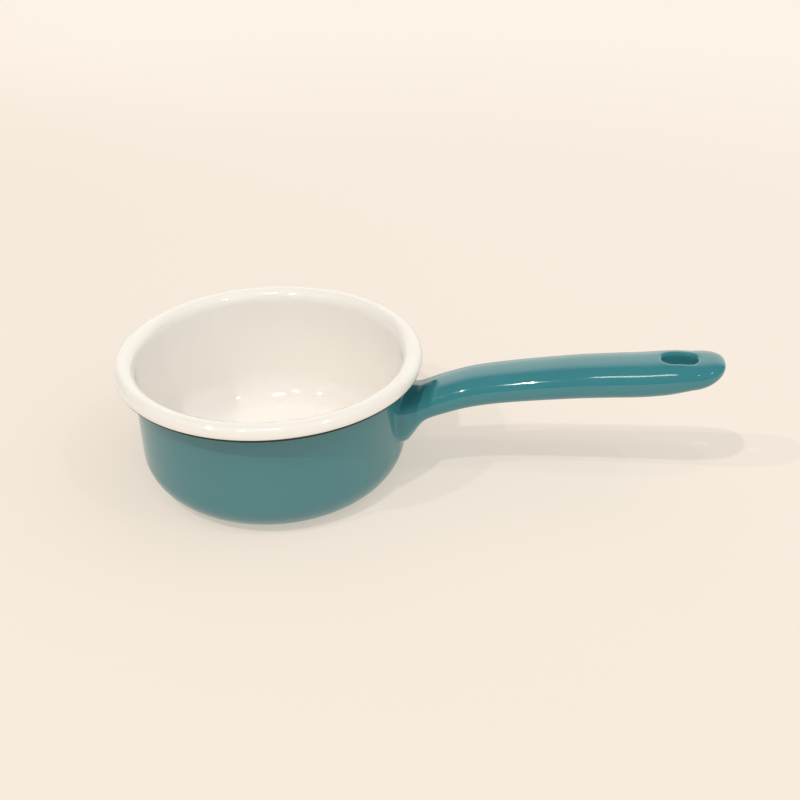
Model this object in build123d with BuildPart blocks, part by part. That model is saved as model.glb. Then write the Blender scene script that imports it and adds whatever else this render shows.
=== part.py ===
from build123d import *

import os
from math import ceil, cos, radians, sin

# Small milk pan in enamelled steel: a drawn body with a rolled edge and a hollow pressed handle.
# Millimetres, +Z up. The origin is the middle of the underside of the base, and the handle runs
# along +X.

os.makedirs("parts", exist_ok=True)

# Pan body
rim_diameter = 140.0
pan_height = 63.0
wall_radius = 62.1  # outside, over the coloured enamel
corner_radius = 18.5  # outside, between the base and the wall
shell_thickness = 1.05  # steel with the white enamel fused to it
coat_thickness = 0.3  # coloured enamel on the outside
coat_top = 57.5  # the coloured enamel ends under the rolled edge
bead_radius = 3.9  # outside of the rolled edge
curl_angle = 225.0  # how far the edge is rolled past the crest of the rim
corner_step = 13.0  # degrees of turn in each chord of the base corner
bead_step = 45.0  # and of the rolled edge

# Hollow handle
handle_wall = 0.9
tip_reach = 201.3  # from the pan's axis to the end of the handle
tip_height = 69.1
end_half_width = 13.2  # the end is a half circle seen from above
end_half_height = 6.6
end_seam = 65.6  # height of the seam where the round end starts
side_fullness = 0.66  # of a section: 0.55 would be an ellipse, 1.0 a rectangle
cutter_half_width = 25.0  # clear of the handle on both sides

# Side view of the handle: reach, height of the seam, rise above it, drop below it, half width.
# The first station lies inside the pan, whose wall trims the handle.
stations = (
    (57.0, 41.4, 6.0, 20.2, 15.6),
    (62.0, 41.0, 6.2, 19.4, 15.3),
    (65.0, 40.7, 6.6, 17.5, 14.5),
    (68.0, 40.6, 7.3, 12.4, 13.7),
    (71.5, 41.5, 7.5, 8.6, 13.2),
    (76.0, 43.5, 7.6, 7.6, 12.8),
    (84.0, 46.8, 7.7, 7.6, 12.5),
    (95.0, 50.6, 7.6, 7.6, 12.5),
    (113.0, 54.4, 7.6, 7.6, 12.6),
    (141.0, 58.8, 7.9, 7.9, 12.9),
    (168.0, 61.8, 8.0, 8.0, 13.1),
    (180.0, 63.8, 7.6, 7.5, 13.2),
)
end_angles = (0.0, 35.0, 65.0)  # stations round the end, in plan
cavity_end_angles = (0.0, 40.0)  # the cavity stops short of the tip with a flat end

# Seam between the two halves of the handle
seam_depth = 0.5
seam_half_height = 0.6

# Hanging hole, a long hole whose wall is drawn down from the upper half
hole_reach = 182.1
hole_length = 16.6
hole_width = 10.6
collar_wall = 0.9
lip_levels = ((-2.0, -0.4), (0.6, 1.4))  # height over the crown and spread of the lip's cutter
lip_height = 71.6  # top of the handle over the middle of the hole
lip_slope = 0.1  # rise of the handle's top per length there
hole_bottom = 50.0  # below the handle
hole_top = 80.0  # above it

# Weld round the foot of the handle: how far it spreads beyond the handle's skin at the first
# stations. It is buried at the last of them, so that the two surfaces cross cleanly.
weld_spreads = (3.4, 1.1, -0.4)

# Sizes that follow from those above
steel_radius = wall_radius - coat_thickness
floor_top = coat_thickness + shell_thickness
inside_radius = wall_radius - floor_top
crest_reach = rim_diameter / 2 - bead_radius
crest_radius = crest_reach - inside_radius
end_start = tip_reach - end_half_width


def arc_points(center, radius, start, sweep, step):
    """Points round an arc from the start angle, at most a step of turn apart, in degrees."""
    count = ceil(abs(sweep) / step)
    angles = [radians(start + sweep * index / count) for index in range(count + 1)]
    return [(center[0] + radius * cos(angle), center[1] + radius * sin(angle)) for angle in angles]


def sheet_line(behind):
    """The sheet from the middle of the floor to the end of the roll, behind its white face."""
    corner_center = (wall_radius - corner_radius, corner_radius)
    corner = arc_points(corner_center, corner_radius - floor_top + behind, -90, 90, corner_step)
    crest_center = (crest_reach, pan_height - crest_radius)
    crest = arc_points(crest_center, crest_radius - behind, 180, -90, bead_step)
    roll_center = (crest_reach, pan_height - bead_radius)
    roll = arc_points(roll_center, bead_radius - behind, 90, -curl_angle, bead_step)
    return [(0, floor_top - behind)] + corner + crest + roll[1:]


def outside_line(depth):
    """The outside of the pan below the rolled edge, at a depth under its surface."""
    corner_center = (wall_radius - corner_radius, corner_radius)
    corner = arc_points(corner_center, corner_radius - depth, -90, 90, corner_step)
    return [(0, depth)] + corner + [(wall_radius - depth, coat_top)]


def round_end(inset, angles):
    """Stations of the round end, which lifts towards its tip, inset all round."""
    rows = []
    for angle in angles:
        across = cos(radians(angle))
        along = sin(radians(angle))
        reach = end_start + (end_half_width - inset) * along
        seam = end_seam + (tip_height - end_seam) * along**2
        half_height = (end_half_height - inset) * across
        rows.append((reach, seam, half_height, half_height, (end_half_width - inset) * across))
    return rows


def half_section(reach, seam, height, half_width):
    """Half of a handle section: a flat chord at the seam and a full, round-shouldered side."""
    with BuildSketch(Plane(origin=(reach, 0, seam), x_dir=(0, 1, 0), z_dir=(1, 0, 0))) as section:
        with BuildLine():
            Line((-half_width, 0), (half_width, 0))
            Bezier((half_width, 0), (half_width, height * side_fullness),
                   (half_width * side_fullness, height), (0, height))
            Bezier((0, height), (-half_width * side_fullness, height),
                   (-half_width, height * side_fullness), (-half_width, 0))
        make_face()
    return section.sketch


def half_handle(rows, side, tip=None):
    """Upper (side 1) or lower (side -1) half of the handle through its stations."""
    sections = []
    for reach, seam, rise, drop, half_width in rows:
        sections.append(half_section(reach, seam, rise if side > 0 else -drop, half_width))
    if tip:
        sections.append(Vertex(*tip))
    with BuildPart() as half:
        loft(sections=sections, ruled=True)
    return half.part


def both_halves(rows, tip=None):
    """The two halves as one solid."""
    with BuildPart() as both:
        add(half_handle(rows, 1, tip))
        add(half_handle(rows, -1, tip))
    return both.part


def inset_rows(inset, angles):
    """Stations of the whole handle, inset from its skin."""
    rows = [(reach, seam, rise - inset, drop - inset, half_width - inset)
            for reach, seam, rise, drop, half_width in stations]
    return rows + round_end(inset, angles)


def foot_flare():
    """Solid flare round the handle where it meets the pan wall."""
    rows = [(reach, seam, rise + spread, drop + spread, half_width + spread)
            for (reach, seam, rise, drop, half_width), spread in zip(stations, weld_spreads)]
    return both_halves(rows)


def long_hole(grow):
    """Upright cutter in the outline of the hanging hole, grown all round."""
    with BuildPart() as cutter:
        with BuildSketch(Plane.XY.offset(hole_bottom)):
            with Locations((hole_reach, 0)):
                SlotOverall(hole_length + 2 * grow, hole_width + 2 * grow)
        extrude(amount=hole_top - hole_bottom)
    return cutter.part


def hole_lip():
    """Cutter that opens the top of the hanging hole outwards."""
    with BuildPart() as cutter:
        top = Plane(origin=(hole_reach, 0, lip_height), x_dir=(1, 0, lip_slope),
                    z_dir=(-lip_slope, 0, 1))
        for lift, grow in lip_levels:
            with BuildSketch(top.offset(lift)):
                SlotOverall(hole_length + 2 * grow, hole_width + 2 * grow)
        loft(ruled=True)
    return cutter.part


def seam_band():
    """Band along the seam, as deep as the weld that fills it."""
    rows = [(row[0], row[1]) for row in list(stations) + round_end(0, end_angles)]
    rows = rows + [(tip_reach, tip_height), (tip_reach + 1, tip_height)]
    upper = [(reach, seam + seam_half_height) for reach, seam in rows]
    lower = [(reach, seam - seam_half_height) for reach, seam in rows]
    with BuildPart() as band:
        with BuildSketch(Plane.XZ):
            with BuildLine():
                Polyline(*upper, *reversed(lower), close=True)
            make_face()
        extrude(amount=cutter_half_width, both=True)
        core_tip = (tip_reach - seam_depth, 0, tip_height)
        add(both_halves(inset_rows(seam_depth, end_angles), core_tip), mode=Mode.SUBTRACT)
    return band.part


# Solids that shape more than one piece
skin_rows = inset_rows(0, end_angles)
skin_tip = (tip_reach, 0, tip_height)
upper_skin = half_handle(skin_rows, 1, skin_tip)
lower_skin = half_handle(skin_rows, -1, skin_tip)
skin = both_halves(skin_rows, skin_tip)
cavity_rows = inset_rows(handle_wall, cavity_end_angles)
upper_cavity = half_handle(cavity_rows, 1)
lower_cavity = half_handle(cavity_rows, -1)
flare = foot_flare()
band = seam_band()
hole = long_hole(0)
collar_outside = long_hole(collar_wall)
lip = hole_lip()

# Steel wall that the handle is welded to, as a plain cylinder
with BuildPart() as wall_cutter:
    Cylinder(steel_radius, pan_height, align=(Align.CENTER, Align.CENTER, Align.MIN))

# Drawn body: floor, corner, wall and the edge rolled outwards over itself
with BuildPart() as pan_shell:
    with BuildSketch(Plane.XZ):
        with BuildLine():
            Polyline(*sheet_line(0), *reversed(sheet_line(shell_thickness)), close=True)
        make_face()
    revolve(axis=Axis.Z)

# Coloured enamel over the outside of the body, open where the handle's foot is welded on
with BuildPart() as outer_coat:
    with BuildSketch(Plane.XZ):
        with BuildLine():
            Polyline(*outside_line(0), *reversed(outside_line(coat_thickness)), close=True)
        make_face()
    revolve(axis=Axis.Z)
    add(flare, mode=Mode.SUBTRACT)

# Upper half of the handle, with the collar of the hanging hole drawn down through it
with BuildPart() as handle_upper:
    add(upper_skin)
    add(upper_cavity, mode=Mode.SUBTRACT)
    add(band, mode=Mode.SUBTRACT)
    add(skin.intersect(collar_outside))
    add(hole, mode=Mode.SUBTRACT)
    add(lip, mode=Mode.SUBTRACT)
    add(wall_cutter.part, mode=Mode.SUBTRACT)

# Lower half, holed for the collar
with BuildPart() as handle_lower:
    add(lower_skin)
    add(lower_cavity, mode=Mode.SUBTRACT)
    add(band, mode=Mode.SUBTRACT)
    add(collar_outside, mode=Mode.SUBTRACT)
    add(wall_cutter.part, mode=Mode.SUBTRACT)

# Weld that fills the groove round the edge of the two halves, ground flush
with BuildPart() as seam_weld:
    add(skin)
    add(band, mode=Mode.INTERSECT)
    add(wall_cutter.part, mode=Mode.SUBTRACT)

# Fillet weld round the foot
with BuildPart() as foot_weld:
    add(flare)
    add(skin, mode=Mode.SUBTRACT)
    add(wall_cutter.part, mode=Mode.SUBTRACT)

pan_shell.part.label = "pan_shell"
export_step(pan_shell.part, "parts/pan_shell.step")

outer_coat.part.label = "outer_coat"
export_step(outer_coat.part, "parts/outer_coat.step")

handle_upper.part.label = "handle_upper"
export_step(handle_upper.part, "parts/handle_upper.step")

handle_lower.part.label = "handle_lower"
export_step(handle_lower.part, "parts/handle_lower.step")

seam_weld.part.label = "seam_weld"
export_step(seam_weld.part, "parts/seam_weld.step")

foot_weld.part.label = "foot_weld"
export_step(foot_weld.part, "parts/foot_weld.step")
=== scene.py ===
from math import atan2, copysign, cos, pi, radians, sin, sqrt

import bpy
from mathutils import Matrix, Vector


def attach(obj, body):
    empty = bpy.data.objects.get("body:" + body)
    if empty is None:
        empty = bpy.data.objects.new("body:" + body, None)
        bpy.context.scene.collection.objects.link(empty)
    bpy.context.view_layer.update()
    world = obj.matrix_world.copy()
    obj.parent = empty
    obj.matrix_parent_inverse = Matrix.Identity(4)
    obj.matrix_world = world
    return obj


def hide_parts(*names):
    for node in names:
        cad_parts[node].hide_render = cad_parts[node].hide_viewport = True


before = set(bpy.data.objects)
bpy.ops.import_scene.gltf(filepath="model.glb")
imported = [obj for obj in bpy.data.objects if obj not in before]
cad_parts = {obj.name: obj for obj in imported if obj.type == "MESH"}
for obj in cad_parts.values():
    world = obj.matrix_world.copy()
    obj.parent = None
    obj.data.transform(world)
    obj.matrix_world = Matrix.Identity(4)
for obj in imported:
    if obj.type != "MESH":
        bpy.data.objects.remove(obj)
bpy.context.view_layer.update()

# A small enamelled milk pan: white inside and over the rolled rim, teal outside, hollow teal handle.
# Metres, Z up, handle along +X. Lengths in view, pan, grip, hole and rimLine are millimetres, in the
# other dictionaries metres. Angles are degrees.

mm = 0.001

view = {
    "target": (59.01, 8.29, 34.84),
    "distance": 471.27,
    "azimuth": -82.0,      # where the camera stands, from +X towards +Y
    "elevation": 30.93,
    "roll": -0.11,
    "lens": 45.0,
    "sensor": 36.0,
    "clip": (10.0, 20000.0),
}


def direction(azimuth, elevation):
    # unit vector towards whatever stands at these angles
    around, up = radians(azimuth), radians(elevation)
    return Vector((cos(up) * cos(around), cos(up) * sin(around), sin(up)))


def placeCamera():
    bpy.ops.object.select_all(action="DESELECT")
    away = direction(view["azimuth"], view["elevation"])
    target = Vector(view["target"]) * mm
    bpy.ops.object.camera_add(location=target + away * view["distance"] * mm)
    camera = bpy.context.object
    camera.name = "camera"
    camera.rotation_euler = away.to_track_quat("Z", "Y").to_euler()
    camera.rotation_euler.rotate_axis("Z", radians(view["roll"]))
    camera.data.lens = view["lens"]
    camera.data.sensor_width = view["sensor"]
    camera.data.clip_start, camera.data.clip_end = (distance * mm for distance in view["clip"])
    bpy.context.scene.camera = camera
    print("camera placed")


placeCamera()


def startClean():
    if bpy.context.object and bpy.context.object.mode != "OBJECT":
        bpy.ops.object.mode_set(mode="OBJECT")
    bpy.ops.object.select_all(action="DESELECT")


def applyModifier(piece, kind, **settings):
    modifier = piece.modifiers.new(kind.lower(), kind)
    for setting, value in settings.items():
        setattr(modifier, setting, value)
    bpy.context.view_layer.objects.active = piece
    bpy.ops.object.modifier_apply(modifier=modifier.name)


def faceOutwards():
    bpy.ops.object.mode_set(mode="EDIT")
    bpy.ops.mesh.select_all(action="SELECT")
    bpy.ops.mesh.normals_make_consistent(inside=False)
    bpy.ops.object.mode_set(mode="OBJECT")


def extrudeRings(count, step):
    # a tube from the active disc, whose rings stand a unit apart, so that each is known by its place
    bpy.ops.object.mode_set(mode="EDIT")
    bpy.ops.mesh.select_all(action="SELECT")
    for _ in range(count):
        bpy.ops.mesh.extrude_region_move(TRANSFORM_OT_translate={"value": step})
    bpy.ops.object.mode_set(mode="OBJECT")


def arcPoints(centre, radius, start, sweep, step):
    count = max(1, round(abs(sweep) / step))
    turns = [radians(start + sweep * i / count) for i in range(count + 1)]
    return [(centre[0] + radius * cos(a), centre[1] + radius * sin(a)) for a in turns]


pan = {
    "rimDiameter": 140.0,
    "height": 63.0,
    "wallRadius": 62.1,
    "cornerRadius": 18.5,
    "steel": 1.05,
    "coat": 0.3,
    "coatTop": 57.5,
    "beadRadius": 3.9,
    "curl": 256.0,         # turn of the rolled edge, until it meets the wall
    "floorRings": (0, 14, 28, 40, 42.6),
    "wallRings": (19.5, 25, 35, 45, 54, 56.6),
    "turnSteps": 192,
    "cornerStep": 3.0,
    "beadStep": 7.5,
    "sharpAngle": 40.0,
    "mergeDistance": 0.002,
}
floorTop = pan["coat"] + pan["steel"]
insideRadius = pan["wallRadius"] - floorTop
crestReach = pan["rimDiameter"] / 2 - pan["beadRadius"]
crestRadius = crestReach - insideRadius
beadHeight = pan["height"] - pan["beadRadius"]
cornerCentre = (pan["wallRadius"] - pan["cornerRadius"], pan["cornerRadius"])


def spinProfile(name, outline):
    # one vertex, extruded from point to point of the outline, then spun round the axis
    startClean()
    first = outline[0]
    bpy.ops.mesh.primitive_plane_add(size=mm, location=(first[0] * mm, 0, first[1] * mm))
    piece = bpy.context.object
    piece.name = name
    bpy.ops.object.transform_apply(location=True, rotation=True, scale=True)
    bpy.ops.object.mode_set(mode="EDIT")
    bpy.ops.mesh.select_all(action="SELECT")
    bpy.ops.mesh.merge(type="CENTER")
    for here, there in zip(outline, outline[1:]):
        move = ((there[0] - here[0]) * mm, 0, (there[1] - here[1]) * mm)
        bpy.ops.mesh.extrude_region_move(TRANSFORM_OT_translate={"value": move})
    bpy.ops.mesh.select_all(action="SELECT")
    bpy.ops.mesh.spin(steps=pan["turnSteps"], angle=2 * pi, center=(0, 0, 0), axis=(0, 0, 1))
    bpy.ops.mesh.select_all(action="SELECT")
    bpy.ops.mesh.remove_doubles(threshold=pan["mergeDistance"] * mm)
    bpy.ops.mesh.normals_make_consistent(inside=False)
    bpy.ops.object.mode_set(mode="OBJECT")
    bpy.ops.object.shade_smooth()
    return piece


def sheetLine(behind):
    # the sheet from the middle of the floor to the end of its roll, at a depth behind its white face
    floor = [(reach, floorTop - behind) for reach in pan["floorRings"]]
    corner = arcPoints(cornerCentre, pan["cornerRadius"] - floorTop + behind, -90, 90,
                       pan["cornerStep"])
    wall = [(insideRadius + behind, height) for height in pan["wallRings"]]
    crest = arcPoints((crestReach, pan["height"] - crestRadius), crestRadius - behind, 180, -90,
                      pan["beadStep"])
    roll = arcPoints((crestReach, beadHeight), pan["beadRadius"] - behind, 90, -pan["curl"],
                     pan["beadStep"])
    return floor + corner + wall + crest + roll[1:]


def makeShell():
    outline = sheetLine(0) + list(reversed(sheetLine(pan["steel"])))
    shell = spinProfile("pan_body", outline)
    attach(shell, "root")
    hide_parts("pan_shell")
    print("pan body spun:", len(shell.data.polygons), "faces")
    return shell


def makeCoat():
    # outside from the middle of the base to the top edge, then back behind it with fewer rings
    inner = pan["wallRadius"] - pan["coat"]
    heights = pan["wallRings"][:-1]
    outline = [(reach, 0) for reach in pan["floorRings"]]
    outline += arcPoints(cornerCentre, pan["cornerRadius"], -90, 90, pan["cornerStep"])
    outline += [(pan["wallRadius"], height) for height in (*heights, pan["coatTop"])]
    outline += [(inner, height) for height in (pan["coatTop"], *reversed(heights[1:-1]))]
    outline += arcPoints(cornerCentre, pan["cornerRadius"] - pan["coat"], 0, -90, pan["cornerStep"])
    outline += [(reach, pan["coat"]) for reach in reversed(pan["floorRings"][:-2])]
    coat = spinProfile("outside_enamel", outline)
    bpy.ops.object.shade_smooth_by_angle(angle=radians(pan["sharpAngle"]))
    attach(coat, "root")
    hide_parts("outer_coat")
    print("outside enamel spun:", len(coat.data.polygons), "faces")
    return coat


shell = makeShell()
coat = makeCoat()


grip = {
    # reach, height of the middle, rise above it, drop below it, half width
    "stations": (
        (57.0, 40.8, 4.2, 20.6, 15.7), (62.0, 40.6, 4.6, 20.2, 15.5),
        (65.0, 40.5, 5.2, 18.8, 14.9), (68.0, 40.6, 6.1, 14.2, 13.9),
        (70.5, 41.2, 6.8, 10.3, 13.4), (73.0, 42.1, 7.3, 8.1, 13.0),
        (77.0, 43.9, 7.6, 7.6, 12.8), (81.0, 45.5, 7.7, 7.6, 12.6),
        (87.0, 48.0, 7.6, 7.7, 12.5), (93.0, 50.0, 7.6, 7.6, 12.5),
        (102.0, 52.3, 7.5, 7.6, 12.5), (113.0, 54.4, 7.6, 7.6, 12.6),
        (127.0, 56.7, 7.8, 7.7, 12.8), (141.0, 58.8, 7.9, 7.9, 12.9),
        (155.0, 60.4, 8.0, 8.0, 13.0), (168.0, 61.8, 8.0, 8.0, 13.1),
        (178.0, 63.4, 7.8, 7.7, 13.15), (183.0, 64.4, 7.1, 7.2, 13.0),
        (188.1, 65.5, 5.85, 6.75, 12.55),
    ),
    "tipReach": 201.3,
    "tipHeight": 69.3,
    "tipSlope": 0.17,      # of the middle where the round end starts
    "fullness": 0.66,      # 0.55 is an ellipse, 1 a rectangle
    "ringPoints": 96,
    # distance from the wall and how far the enamel fillet spreads there
    "foot": ((-0.7, 1.5), (-0.2, 1.1), (0.1, 0.75), (0.4, 0.45), (0.8, 0.2), (1.4, 0.05), (2.2, 0.0)),
    "footSearch": 12,      # rounds in which a point of the foot settles on the wall
    "firstUpright": 70.0,  # reach of the first upright ring
    "blendRings": 4,       # from the foot to that ring
    "spacing": 1.6,        # between the upright rings
    "endFullness": 0.78,   # seen from above, where 1 is a half circle
    "endDepth": 0.95,      # the same seen from the side
    "endTurns": (7, 14, 21, 28, 35, 42, 49, 56, 62, 68, 73, 77.5, 81, 84, 86.5, 88.2, 89.3),
    "wallCut": 61.35,      # radius where the handle ends, within the sheet of the pan's wall
    "wallCutHeight": 200.0,
    "wallCutSides": 256,
    "voxel": 0.4,
    "smoothing": 8,        # rounds
    "smoothingShare": 0.5,
}
hole = {
    "reach": 182.1,
    "length": 16.6,
    "width": 10.6,
    "points": 96,
    # height over the handle's top and growth of the outline, then the same over its bottom
    "topLip": ((-2.2, -0.9), (-1.5, -0.8), (-0.9, -0.55), (-0.45, -0.15), (-0.15, 0.35), (0.0, 0.9),
               (0.5, 2.0), (4.0, 2.0)),
    "bottomLip": ((0.9, -0.9), (0.5, -0.8), (0.2, -0.55), (0.0, -0.2), (-0.9, 0.3), (-4.0, 0.3)),
    "halvings": 30,        # in the search for the handle's top
    "nearlyZero": 1e-6,
}


def sectionAt(reach):
    # middle height, rise, drop and half width, on a smooth line through the stations
    rows = grip["stations"]
    last = len(rows) - 1
    i = max(0, min(last - 1, sum(1 for row in rows if row[0] <= reach) - 1))
    a, b = rows[i], rows[i + 1]
    before, after = rows[max(0, i - 1)], rows[min(last, i + 2)]
    span = b[0] - a[0]
    t = (reach - a[0]) / span
    sizes = []
    for k in range(1, 5):
        slopeA = (b[k] - before[k]) / (b[0] - before[0])
        slopeB = (after[k] - a[k]) / (after[0] - a[0])
        curve = (2 * t**3 - 3 * t**2 + 1) * a[k] + (t**3 - 2 * t**2 + t) * span * slopeA
        sizes.append(curve + (3 * t**2 - 2 * t**3) * b[k] + (t**3 - t**2) * span * slopeB)
    return sizes


def endSection(along, across):
    # the same for the round end, which lifts towards its tip
    begin, middle, rise, drop, halfWidth = grip["stations"][-1]
    lift = grip["tipSlope"] * (grip["tipReach"] - begin)
    middle = middle + lift * along + (grip["tipHeight"] - middle - lift) * along**2
    depth = across**grip["endDepth"]
    return middle, rise * depth, drop * depth, halfWidth * across**grip["endFullness"]


def sectionPoint(turn, rise, drop, halfWidth):
    # a point on the section: a full, round-shouldered oval
    quarter, part = divmod(turn / (pi / 2), 1)
    quarter = int(quarter) % 4
    if quarter in (1, 3):
        part = 1 - part
    full = grip["fullness"]
    side = (1 - part)**3 + 3 * (1 - part)**2 * part + 3 * (1 - part) * part**2 * full
    lift = 3 * (1 - part)**2 * part * full + 3 * (1 - part) * part**2 + part**3
    y = halfWidth * side * (1 if quarter in (0, 3) else -1)
    z = lift * (rise if quarter in (0, 1) else -drop)
    return y, z


def footPoint(turn, away, spread):
    # on the curved wall, a little away from it, spread for the fillet
    radius = pan["wallRadius"] + away
    reach = radius
    for _ in range(grip["footSearch"]):
        middle, rise, drop, halfWidth = sectionAt(max(grip["stations"][0][0], reach))
        y, z = sectionPoint(turn, rise + spread, drop + spread, halfWidth + spread)
        reach = sqrt(radius**2 - y**2)
    return reach, y, middle + z


def uprightPoint(turn, reach):
    middle, rise, drop, halfWidth = sectionAt(reach)
    y, z = sectionPoint(turn, rise, drop, halfWidth)
    return reach, y, middle + z


def blendedPoint(turn, reach, share):
    # between the last ring that follows the wall and the first upright ring
    atWall = footPoint(turn, *grip["foot"][-1])[0]
    return uprightPoint(turn, atWall + (reach - atWall) * share)


def endPoint(turn, angle):
    across, along = cos(radians(angle)), sin(radians(angle))
    begin = grip["stations"][-1][0]
    middle, rise, drop, halfWidth = endSection(along, across)
    y, z = sectionPoint(turn, rise, drop, halfWidth)
    return begin + (grip["tipReach"] - begin) * along, y, middle + z


def ringPlans():
    # every ring of the handle in order, as a function of the turn round the section
    start, end = grip["firstUpright"], grip["stations"][-1][0]
    plans = [lambda turn, row=row: footPoint(turn, *row) for row in grip["foot"]]
    for k in range(1, grip["blendRings"] + 1):
        share = k / grip["blendRings"]
        plans.append(lambda turn, share=share: blendedPoint(turn, start, share))
    count = round((end - start) / grip["spacing"])
    for k in range(1, count + 1):
        reach = start + (end - start) * k / count
        plans.append(lambda turn, reach=reach: uprightPoint(turn, reach))
    plans += [lambda turn, angle=angle: endPoint(turn, angle) for angle in grip["endTurns"]]
    return plans


def faceHeight(reach, y, side):
    # height of the handle's top (side 1) or bottom (side -1) over a point, by halving
    begin = grip["stations"][-1][0]
    if reach <= begin:
        middle, rise, drop, halfWidth = sectionAt(reach)
    else:
        along = min(1.0, (reach - begin) / (grip["tipReach"] - begin))
        middle, rise, drop, halfWidth = endSection(along, sqrt(max(0.0, 1 - along**2)))
    low, high = 0.0, pi / 2
    for _ in range(hole["halvings"]):
        turn = (low + high) / 2
        if sectionPoint(turn, rise, drop, halfWidth)[0] > abs(y):
            low = turn
        else:
            high = turn
    z = sectionPoint(turn, rise, drop, halfWidth)[1]
    return middle + (z if side > 0 else -z * drop / rise)


def makeSkin():
    # a plain tube of rings, each of which is then given its section
    startClean()
    plans = ringPlans()
    bpy.ops.mesh.primitive_circle_add(vertices=grip["ringPoints"], radius=1, fill_type="NGON",
                                      rotation=(0, pi / 2, 0))
    skin = bpy.context.object
    skin.name = "handle"
    bpy.ops.object.transform_apply(location=True, rotation=True, scale=True)
    extrudeRings(len(plans) - 1, (1, 0, 0))
    for vertex in skin.data.vertices:
        plan = plans[round(vertex.co.x)]
        turn = atan2(vertex.co.z, vertex.co.y) % (2 * pi)
        vertex.co = Vector(plan(turn)) * mm
    faceOutwards()
    return skin


def makeCutter():
    # the long hole: a tube pulled apart into a slot and flared at both faces of the handle
    startClean()
    levels = [(-1, *row) for row in reversed(hole["bottomLip"])]
    levels += [(1, *row) for row in hole["topLip"]]
    bpy.ops.mesh.primitive_circle_add(vertices=hole["points"], radius=hole["width"] / 2 * mm,
                                      fill_type="NGON")
    cutter = bpy.context.object
    cutter.name = "hole_cutter"
    extrudeRings(len(levels) - 1, (0, 0, 1))
    apart = (hole["length"] - hole["width"]) / 2
    for vertex in cutter.data.vertices:
        side, lift, grow = levels[round(vertex.co.z)]
        turn = atan2(vertex.co.y, vertex.co.x)
        radius = hole["width"] / 2 + grow
        push = copysign(apart, cos(turn)) if abs(cos(turn)) > hole["nearlyZero"] else 0
        x = hole["reach"] + radius * cos(turn) + push
        y = radius * sin(turn)
        vertex.co = Vector((x, y, faceHeight(x, y, side) + lift)) * mm
    faceOutwards()
    return cutter


def makeWallCutter():
    # the handle ends within the wall and doesn't show inside the pan
    startClean()
    bpy.ops.mesh.primitive_cylinder_add(vertices=grip["wallCutSides"], radius=grip["wallCut"] * mm,
                                        depth=grip["wallCutHeight"] * mm)
    return bpy.context.object


def makeHandle():
    skin = makeSkin()
    for makeTool in (makeWallCutter, makeCutter):
        tool = makeTool()
        applyModifier(skin, "BOOLEAN", object=tool, operation="DIFFERENCE", solver="EXACT")
        bpy.data.objects.remove(tool)
    applyModifier(skin, "REMESH", mode="VOXEL", voxel_size=grip["voxel"] * mm)
    applyModifier(skin, "SMOOTH", factor=grip["smoothingShare"], iterations=grip["smoothing"])
    startClean()
    skin.select_set(True)
    bpy.context.view_layer.objects.active = skin
    bpy.ops.object.shade_smooth()
    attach(skin, "root")
    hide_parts("handle_upper", "handle_lower", "seam_weld", "foot_weld")
    print("handle formed:", len(skin.data.polygons), "faces")
    return skin


handle = makeHandle()


def feed(tree, socket, value):
    # a link from another node's output, or a constant
    if hasattr(value, "links"):
        tree.links.new(value, socket)
    else:
        socket.default_value = value


def mathNode(tree, operation, first, second=None, clamp=False):
    node = tree.nodes.new("ShaderNodeMath")
    node.operation = operation
    node.use_clamp = clamp
    feed(tree, node.inputs[0], first)
    if second is not None:
        feed(tree, node.inputs[1], second)
    return node.outputs[0]


def mixColour(tree, factor, first, second):
    node = tree.nodes.new("ShaderNodeMix")
    node.data_type = "RGBA"
    for index, value in ((0, factor), (6, first), (7, second)):
        feed(tree, node.inputs[index], value)
    return node.outputs[2]


def mixShader(tree, factor, first, second):
    node = tree.nodes.new("ShaderNodeMixShader")
    for index, value in enumerate((factor, first, second)):
        tree.links.new(value, node.inputs[index])
    return node.outputs[0]


def rangeNode(tree, value, before, after, kind="SMOOTHSTEP"):
    # takes one range of values over into another
    node = tree.nodes.new("ShaderNodeMapRange")
    node.interpolation_type = kind
    tree.links.new(value, node.inputs["Value"])
    for socket, limit in zip(("From Min", "From Max", "To Min", "To Max"), (*before, *after)):
        feed(tree, node.inputs[socket], limit)
    return node.outputs[0]


def splitNode(tree, vector):
    node = tree.nodes.new("ShaderNodeSeparateXYZ")
    tree.links.new(vector, node.inputs[0])
    return node.outputs


def emptyTree(owner, outputKind):
    owner.use_nodes = True
    owner.node_tree.nodes.clear()
    return owner.node_tree, owner.node_tree.nodes.new(outputKind).inputs[0]


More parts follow.
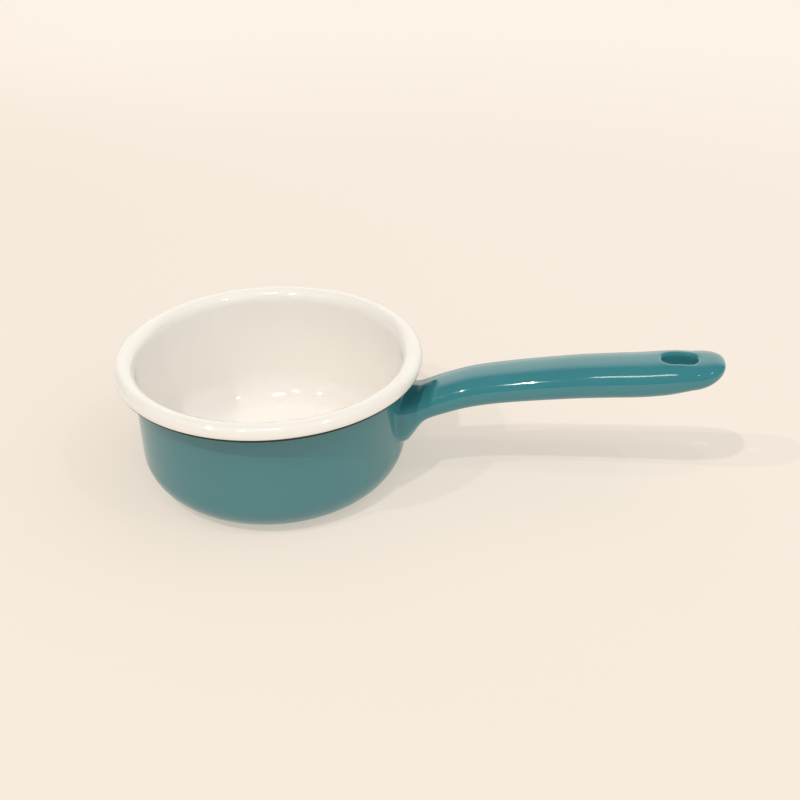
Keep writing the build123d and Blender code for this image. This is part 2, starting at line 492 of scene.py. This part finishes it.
enamel = {   # the capitalised names are inputs of the group below
    "teal": {
        "colour": (0.05, 0.208, 0.236, 1), "cloud": (0.06, 0.228, 0.257, 1),
        "speck": (0.02, 0.06, 0.07, 1), "speckStrength": 0.12, "ior": 1.6, "relief": 0.00012,
        "Wave Scale": 55.0, "Peel Scale": 900.0, "Peel Share": 0.03, "Tone Scale": 40.0,
        "Speck Scale": 300.0, "Shine Low": 0.05, "Shine High": 0.1,
    },
    "handle": {
        "colour": (0.037, 0.22, 0.262, 1), "cloud": (0.047, 0.242, 0.286, 1),
        "speck": (0.02, 0.06, 0.07, 1), "speckStrength": 0.12, "ior": 1.6, "relief": 0.00012,
        "Wave Scale": 55.0, "Peel Scale": 900.0, "Peel Share": 0.03, "Tone Scale": 40.0,
        "Speck Scale": 300.0, "Shine Low": 0.05, "Shine High": 0.1,
    },
    "white": {
        "colour": (0.915, 0.888, 0.85, 1), "cloud": (0.928, 0.902, 0.865, 1),
        "speck": (0.35, 0.31, 0.26, 1), "speckStrength": 0.08, "ior": 1.6, "relief": 0.00016,
        "Wave Scale": 50.0, "Peel Scale": 330.0, "Peel Share": 0.3, "Tone Scale": 35.0,
        "Speck Scale": 240.0, "Shine Low": 0.03, "Shine High": 0.08,
    },
}
grain = {   # what the enamels share
    "waveDetail": 1.0,
    "peelDetail": 1.5,
    "toneDetail": 3.0,
    "toneRange": (0.3, 0.7),   # of the clouds, over which the shine goes from low to high
    "speckAbove": 0.93,        # of the cells' random values
    "speckRadius": 0.16,       # as a share of a cell
}
enamelSockets = ("Wave Scale", "Peel Scale", "Peel Share", "Tone Scale", "Speck Scale", "Shine Low",
                 "Shine High")


def enamelGroup():
    # slow waves and fine peel of fired enamel, its cloudy tone, its shine and rare specks
    group = bpy.data.node_groups.new("fired enamel", "ShaderNodeTree")
    group.interface.new_socket("Vector", in_out="INPUT", socket_type="NodeSocketVector")
    for label in enamelSockets:
        socket = group.interface.new_socket(label, in_out="INPUT", socket_type="NodeSocketFloat")
        socket.default_value = enamel["teal"][label]
    for label in ("Height", "Tone", "Specks", "Roughness"):
        group.interface.new_socket(label, in_out="OUTPUT", socket_type="NodeSocketFloat")
    start = group.nodes.new("NodeGroupInput")
    end = group.nodes.new("NodeGroupOutput")
    links = group.links

    def noise(scale, detail):
        node = group.nodes.new("ShaderNodeTexNoise")
        node.inputs["Detail"].default_value = detail
        links.new(start.outputs["Vector"], node.inputs["Vector"])
        links.new(start.outputs[scale], node.inputs["Scale"])
        return node.outputs["Fac"]

    wave = noise("Wave Scale", grain["waveDetail"])
    peel = noise("Peel Scale", grain["peelDetail"])
    peel = mathNode(group, "MULTIPLY", peel, start.outputs["Peel Share"])
    links.new(mathNode(group, "ADD", wave, peel), end.inputs["Height"])
    tone = noise("Tone Scale", grain["toneDetail"])
    links.new(tone, end.inputs["Tone"])
    cells = group.nodes.new("ShaderNodeTexVoronoi")
    links.new(start.outputs["Vector"], cells.inputs["Vector"])
    links.new(start.outputs["Speck Scale"], cells.inputs["Scale"])
    split = group.nodes.new("ShaderNodeSeparateColor")
    links.new(cells.outputs["Color"], split.inputs[0])
    rare = mathNode(group, "GREATER_THAN", split.outputs[0], grain["speckAbove"])
    small = mathNode(group, "LESS_THAN", cells.outputs["Distance"], grain["speckRadius"])
    links.new(mathNode(group, "MULTIPLY", rare, small), end.inputs["Specks"])
    shine = (start.outputs["Shine Low"], start.outputs["Shine High"])
    links.new(rangeNode(group, tone, grain["toneRange"], shine, "LINEAR"), end.inputs["Roughness"])
    return group


firedEnamel = enamelGroup()


def enamelMaterial(name, look):
    material = bpy.data.materials.new(name)
    tree, surface = emptyTree(material, "ShaderNodeOutputMaterial")
    shader = tree.nodes.new("ShaderNodeBsdfPrincipled")
    tree.links.new(shader.outputs[0], surface)
    shader.inputs["IOR"].default_value = look["ior"]
    shader.inputs["Metallic"].default_value = 0.0
    where = tree.nodes.new("ShaderNodeTexCoord").outputs["Object"]
    skin = tree.nodes.new("ShaderNodeGroup")
    skin.node_tree = firedEnamel
    tree.links.new(where, skin.inputs["Vector"])
    for socket in enamelSockets:
        skin.inputs[socket].default_value = look[socket]
    colour = mixColour(tree, skin.outputs["Tone"], look["colour"], look["cloud"])
    specks = mathNode(tree, "MULTIPLY", skin.outputs["Specks"], look["speckStrength"])
    colour = mixColour(tree, specks, colour, look["speck"])
    tree.links.new(skin.outputs["Roughness"], shader.inputs["Roughness"])
    bump = tree.nodes.new("ShaderNodeBump")
    bump.inputs["Strength"].default_value = 1.0
    bump.inputs["Distance"].default_value = look["relief"]
    tree.links.new(skin.outputs["Height"], bump.inputs["Height"])
    tree.links.new(bump.outputs[0], shader.inputs["Normal"])
    tree.links.new(colour, shader.inputs["Base Color"])
    return material, tree, shader, where, colour


rimLine = {
    "whiteEnds": -20.0,    # round the rolled edge, from level outwards
    "tealStarts": -66.0,
    "softness": 1.5,
    "dark": (0.045, 0.06, 0.055, 1),
    "waver": 1.2,
    "waverScale": 90.0,
    "behind": 0.5,         # the coat, where the inside of the pan begins
    "gloss": 0.5,          # of the white, and none in the line
}


def whiteMaterial():
    material, tree, shader, where, white = enamelMaterial("white enamel", enamel["white"])
    x, y, z = splitNode(tree, where)
    reach = mathNode(tree, "SQRT", mathNode(tree, "ADD", mathNode(tree, "MULTIPLY", x, x),
                                            mathNode(tree, "MULTIPLY", y, y)))
    out = mathNode(tree, "SUBTRACT", reach, crestReach * mm)
    up = mathNode(tree, "SUBTRACT", z, beadHeight * mm)
    # angle round the bead from level outwards, with a little waver of the edge
    angle = mathNode(tree, "MULTIPLY", mathNode(tree, "ARCTAN2", up, out), 180 / pi)
    waver = tree.nodes.new("ShaderNodeTexNoise")
    waver.inputs["Scale"].default_value = rimLine["waverScale"]
    tree.links.new(where, waver.inputs["Vector"])
    shift = mathNode(tree, "MULTIPLY", mathNode(tree, "SUBTRACT", waver.outputs["Fac"], 0.5),
                     2 * rimLine["waver"])
    angle = mathNode(tree, "ADD", angle, shift)
    innerReach = (pan["wallRadius"] - pan["coat"] - rimLine["behind"]) * mm
    outside = mathNode(tree, "GREATER_THAN", reach, innerReach)

    def maskPast(limit):
        edge = (limit + rimLine["softness"], limit - rimLine["softness"])
        return mathNode(tree, "MULTIPLY", rangeNode(tree, angle, edge, (0, 1)), outside)

    darkMask = maskPast(rimLine["whiteEnds"])
    tealMask = maskPast(rimLine["tealStarts"])
    colour = mixColour(tree, darkMask, white, rimLine["dark"])
    colour = mixColour(tree, tealMask, colour, enamel["teal"]["colour"])
    tree.links.new(colour, shader.inputs["Base Color"])
    # the line between white and teal is dark and without gloss
    darkLine = mathNode(tree, "SUBTRACT", darkMask, tealMask, clamp=True)
    lost = mathNode(tree, "MULTIPLY", darkLine, rimLine["gloss"])
    tree.links.new(mathNode(tree, "SUBTRACT", rimLine["gloss"], lost),
                   shader.inputs["Specular IOR Level"])
    return material


def dress(piece, material):
    piece.data.materials.clear()
    piece.data.materials.append(material)


dress(shell, whiteMaterial())
dress(coat, enamelMaterial("teal enamel", enamel["teal"])[0])
dress(handle, enamelMaterial("handle enamel", enamel["handle"])[0])
print("enamel fired")


room = {
    "floor": (0.93, 0.86, 0.785, 1),
    "background": (0.945, 0.84, 0.735, 1),
    "backgroundRight": (0.985, 0.895, 0.795, 1),
    "rightFrom": (-0.1, 0.5),
    "glow": 0.5,           # share of the plain background colour in the table beside the pan
    "fade": (0.25, 1.1),   # from the pan, where the table goes over into the background
    "size": 12.0,
    "cuts": 8,
    "ambient": 0.45,
    "ambientColour": (1, 0.95, 0.87, 1),
    "mirrored": 1.5,       # brightness of the backdrop in the gloss
    "mirroredFront": 0.15,  # of the darker room overhead and in front
    "mirroredFrom": (0.45, 0.8),   # how far a direction points to the back
    "mirroredColour": (1.0, 0.95, 0.86),
}


def makeFloor():
    startClean()
    bpy.ops.mesh.primitive_plane_add(size=room["size"], location=(0, 0, 0))
    floor = bpy.context.object
    floor.name = "table"
    bpy.ops.object.mode_set(mode="EDIT")
    bpy.ops.mesh.subdivide(number_cuts=room["cuts"])
    bpy.ops.object.mode_set(mode="OBJECT")
    material = bpy.data.materials.new("pale table")
    tree, surface = emptyTree(material, "ShaderNodeOutputMaterial")
    diffuse = tree.nodes.new("ShaderNodeBsdfDiffuse")
    diffuse.inputs["Color"].default_value = room["floor"]
    where = tree.nodes.new("ShaderNodeTexCoord").outputs["Object"]
    # far from the pan the table goes over into the plain background
    length = tree.nodes.new("ShaderNodeVectorMath")
    length.operation = "LENGTH"
    tree.links.new(where, length.inputs[0])
    fade = rangeNode(tree, length.outputs["Value"], room["fade"], (room["glow"], 1))
    # the background gets a little lighter towards the far right
    place = splitNode(tree, where)
    across = mathNode(tree, "ADD", place["X"], place["Y"])
    right = rangeNode(tree, across, room["rightFrom"], (0, 1))
    plain = tree.nodes.new("ShaderNodeEmission")
    tree.links.new(mixColour(tree, right, room["background"], room["backgroundRight"]),
                   plain.inputs["Color"])
    tree.links.new(mixShader(tree, fade, diffuse.outputs[0], plain.outputs[0]), surface)
    floor.data.materials.append(material)


def makeWorld():
    world = bpy.data.worlds.new("studio")
    bpy.context.scene.world = world
    tree, surface = emptyTree(world, "ShaderNodeOutputWorld")

    def backdrop(colour, strength):
        node = tree.nodes.new("ShaderNodeBackground")
        feed(tree, node.inputs["Color"], colour)
        node.inputs["Strength"].default_value = strength
        return node.outputs[0]

    # what the gloss mirrors is bright behind the pan and darker overhead and in front
    where = tree.nodes.new("ShaderNodeTexCoord").outputs["Generated"]
    back = rangeNode(tree, splitNode(tree, where)["Y"], room["mirroredFrom"],
                     (room["mirroredFront"], room["mirrored"]))
    tint = tree.nodes.new("ShaderNodeVectorMath")
    tint.operation = "SCALE"
    tint.inputs[0].default_value = room["mirroredColour"]
    tree.links.new(back, tint.inputs["Scale"])
    soft = backdrop(room["ambientColour"], room["ambient"])
    mirrored = backdrop(tint.outputs[0], 1.0)
    seen = backdrop(room["background"], 1.0)
    path = tree.nodes.new("ShaderNodeLightPath")
    lit = mixShader(tree, path.outputs["Is Glossy Ray"], soft, mirrored)
    tree.links.new(mixShader(tree, path.outputs["Is Camera Ray"], lit, seen), surface)


fill = {   # large soft source on the right, a little cooler than the lamps
    "light": 0.14, "spread": 80.0, "azimuth": -12.0, "elevation": 42.0, "distance": 2.0,
    "colour": (0.95, 0.98, 1.0),
}
lampColour = (1.0, 0.96, 0.9)
lamps = {
    # where the lamp stands as seen from the pan, its distance, its size and its light
    "main": {"azimuth": -104.5, "elevation": 56.0, "distance": 1.28, "radius": 0.013, "light": 0.21},
    "second": {"azimuth": -131.6, "elevation": 50.6, "distance": 1.4, "radius": 0.014, "light": 0.1},
    "third": {"azimuth": -81.0, "elevation": 67.0, "distance": 1.5, "radius": 0.12, "light": 0.06},
    "fourth": {"azimuth": -28.0, "elevation": 55.0, "distance": 1.4, "radius": 0.035, "light": 0.035},
}


def addLight(name, kind, source, colour):
    # its light on the table beside the pan, as a share of the full level
    startClean()
    away = direction(source["azimuth"], source["elevation"])
    bpy.ops.object.light_add(type=kind, location=away * source["distance"])
    light = bpy.context.object
    light.name = name
    light.data.color = colour
    light.data.energy = source["light"] * pi / sin(radians(source["elevation"]))
    return light, away


def placeFill():
    light, away = addLight("fill_light", "SUN", fill, fill["colour"])
    light.rotation_euler = away.to_track_quat("Z", "Y").to_euler()
    light.data.angle = radians(fill["spread"])
    light.visible_glossy = False


def placeLamp(name, lamp):
    light = addLight(name + "_lamp", "POINT", lamp, lampColour)[0]
    light.data.shadow_soft_size = lamp["radius"]
    # a point lamp spreads its power all round, and the falloff keeps it the same at any distance
    light.data.energy *= 4 * pi * lamp["distance"]**2
    light.data.use_nodes = True
    tree = light.data.node_tree
    emission = next(node for node in tree.nodes if node.type == "EMISSION")
    falloff = tree.nodes.new("ShaderNodeLightFalloff")
    falloff.inputs["Strength"].default_value = 1.0 / lamp["distance"]**2
    tree.links.new(falloff.outputs["Constant"], emission.inputs["Strength"])


makeFloor()
makeWorld()
placeFill()
for lampName, lampValues in lamps.items():
    placeLamp(lampName, lampValues)
bpy.context.scene.view_settings.view_transform = "Standard"
print("studio lit")
